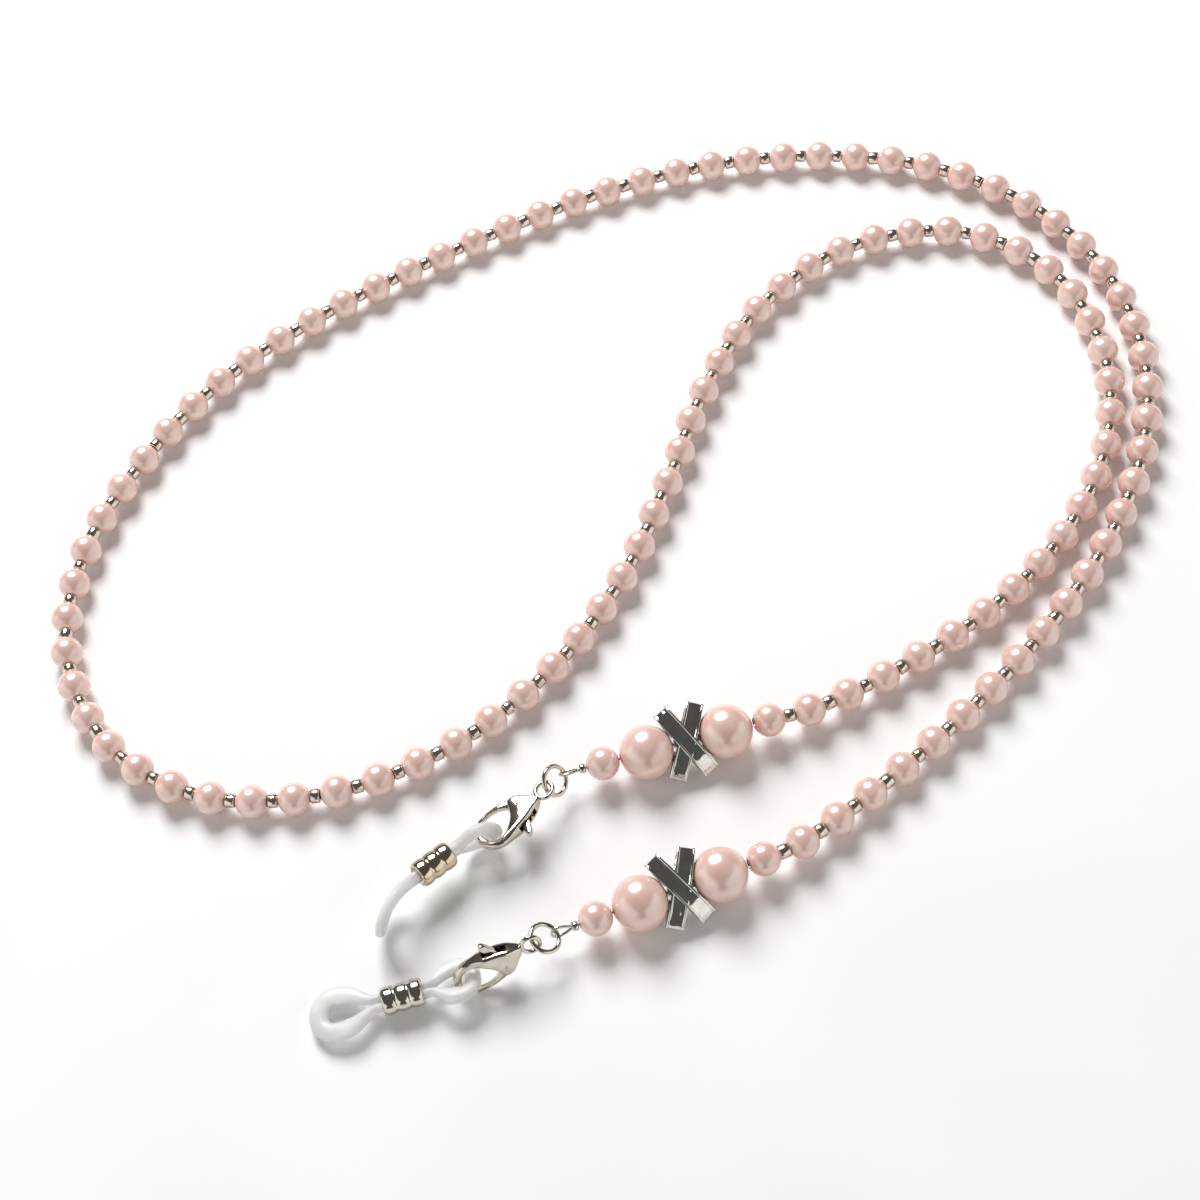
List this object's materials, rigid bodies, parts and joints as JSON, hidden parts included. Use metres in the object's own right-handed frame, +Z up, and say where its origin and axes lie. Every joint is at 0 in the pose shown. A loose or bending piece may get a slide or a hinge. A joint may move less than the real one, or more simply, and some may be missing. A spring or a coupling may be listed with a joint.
{
  "type": "eyeglass retainer strap",
  "caption": "Beaded pearl eyeglass retainer strap with crossed-band spacers, lobster clasps and silicone loops that grip the temple arms.",
  "frame": {"origin": "middle of the strap's outline, on the surface it lies on", "axes": "+Z up from that surface; both clasped ends lie towards -Y and point to -X; +X is the longest way across the coiled strand"},
  "size_m": [0.1699, 0.145, 0.0088],
  "materials": {
    "strand_beads": "pearl lustre",
    "pearl": "pearl lustre",
    "silicone": "translucent, satin",
    "nickel": "polished nickel plate",
    "spacer_metal": "polished, dark nickel plate",
    "wire": "drawn beading wire",
    "spring_steel": "rolled"
  },
  "bodies": {
    "strand": {"bead_run_01": "strand_beads", "bead_run_02": "strand_beads", "bead_run_03": "strand_beads", "bead_run_04": "strand_beads", "bead_run_05": "strand_beads", "bead_run_06": "strand_beads", "bead_run_07": "strand_beads", "bead_run_08": "strand_beads", "bead_run_09": "strand_beads", "bead_run_10": "strand_beads", "bead_run_11": "strand_beads", "bead_run_12": "strand_beads", "bead_run_13": "strand_beads", "bead_run_14": "strand_beads", "bead_run_15": "strand_beads", "bead_run_16": "strand_beads", "bead_run_17": "strand_beads", "bead_run_18": "strand_beads", "bead_run_19": "strand_beads", "bead_run_20": "strand_beads", "bead_run_21": "strand_beads", "bead_run_22": "strand_beads", "bead_run_23": "strand_beads", "bead_run_24": "strand_beads", "bead_run_25": "strand_beads", "bead_run_26": "strand_beads", "bead_run_27": "strand_beads", "bead_run_28": "strand_beads", "beading_wire": "wire"},
    "cluster_a": {"end_wire_a": "wire", "large_pearl_inner_a": "pearl", "large_pearl_outer_a": "pearl", "end_pearl_a": "pearl", "crimp_bead_a": "nickel", "wire_loop_a": "wire"},
    "spacer_a": {"cross_spacer_a": "spacer_metal"},
    "ring_a": {"jump_ring_a": "nickel"},
    "clasp_a": {"clasp_body_a": "nickel", "clasp_pin_a": "nickel", "clasp_spring_a": "spring_steel"},
    "lever_a": {"clasp_lever_a": "nickel"},
    "loop_a": {"silicone_loop_a": "silicone"},
    "slider_a": {"loop_slider_a": "nickel"},
    "cluster_b": {"end_wire_b": "wire", "large_pearl_inner_b": "pearl", "large_pearl_outer_b": "pearl", "end_pearl_b": "pearl", "crimp_bead_b": "nickel", "wire_loop_b": "wire"},
    "spacer_b": {"cross_spacer_b": "spacer_metal"},
    "ring_b": {"jump_ring_b": "nickel"},
    "clasp_b": {"clasp_body_b": "nickel", "clasp_pin_b": "nickel", "clasp_spring_b": "spring_steel"},
    "lever_b": {"clasp_lever_b": "nickel"},
    "loop_b": {"silicone_loop_b": "silicone"},
    "slider_b": {"loop_slider_b": "nickel"}
  },
  "joints": [
    {"name": "cluster_lift_a", "type": "hinge", "parent": "strand", "child": "cluster_a", "pos_m": [0.01643, -0.03486, 0.0038], "axis": [-0.1392, 0.9903, 0], "range_deg": [0, 30]},
    {"name": "spacer_spin_a", "type": "hinge", "parent": "cluster_a", "child": "spacer_a", "pos_m": [0.0046, -0.03652, 0.0038], "axis": [-0.9903, -0.1392, 0], "continuous": true},
    {"name": "ring_swing_a", "type": "hinge", "parent": "cluster_a", "child": "ring_a", "pos_m": [-0.01266, -0.03895, 0.0038], "axis": [0.2858, -0.6714, -0.6837], "range_deg": [-40, 30]},
    {"name": "clasp_swing_a", "type": "hinge", "parent": "ring_a", "child": "clasp_a", "pos_m": [-0.01541, -0.04151, 0.00517], "axis": [0.2858, -0.6714, -0.6837], "range_deg": [-30, 30]},
    {"name": "lever_open_a", "type": "hinge", "parent": "clasp_a", "child": "lever_a", "pos_m": [-0.01929, -0.04359, 0.00452], "axis": [-0.212, 0.0916, 0.973], "range_deg": [0, 7], "stiffness_Nm_per_rad": 0.0005},
    {"name": "loop_swing_a", "type": "hinge", "parent": "clasp_a", "child": "loop_a", "pos_m": [-0.02445, -0.04792, 0.0038], "axis": [0.6774, -0.7038, 0.2139], "range_deg": [-30, 30]},
    {"name": "slider_slide_a", "type": "slide", "parent": "loop_a", "child": "slider_a", "axis": [-0.8245, -0.5561, 0.1045], "range_m": [-0.001, 0.001]},
    {"name": "cluster_lift_b", "type": "hinge", "parent": "strand", "child": "cluster_b", "pos_m": [0.01253, -0.05556, 0.0038], "axis": [-0.225, 0.9744, 0], "range_deg": [0, 30]},
    {"name": "spacer_spin_b", "type": "hinge", "parent": "cluster_b", "child": "spacer_b", "pos_m": [0.00089, -0.05825, 0.0038], "axis": [-0.9744, -0.225, 0], "continuous": true},
    {"name": "ring_swing_b", "type": "hinge", "parent": "cluster_b", "child": "ring_b", "pos_m": [-0.0161, -0.06217, 0.0038], "axis": [0.4179, -0.8907, -0.179], "range_deg": [-40, 30]},
    {"name": "clasp_swing_b", "type": "hinge", "parent": "ring_b", "child": "clasp_b", "pos_m": [-0.01924, -0.06398, 0.00549], "axis": [0.4179, -0.8907, -0.179], "range_deg": [-30, 30]},
    {"name": "lever_open_b", "type": "hinge", "parent": "clasp_b", "child": "lever_b", "pos_m": [-0.0232, -0.06525, 0.00392], "axis": [-0.1441, 0.9145, -0.3781], "range_deg": [0, 7], "stiffness_Nm_per_rad": 0.0005},
    {"name": "loop_swing_b", "type": "hinge", "parent": "clasp_b", "child": "loop_b", "pos_m": [-0.0297, -0.06675, 0.00278], "axis": [-0.1516, 0.3572, 0.9217], "range_deg": [-30, 30]},
    {"name": "slider_slide_b", "type": "slide", "parent": "loop_b", "child": "slider_b", "axis": [-0.9889, -0.139, -0.0523], "range_m": [-0.001, 0.001]}
  ]
}
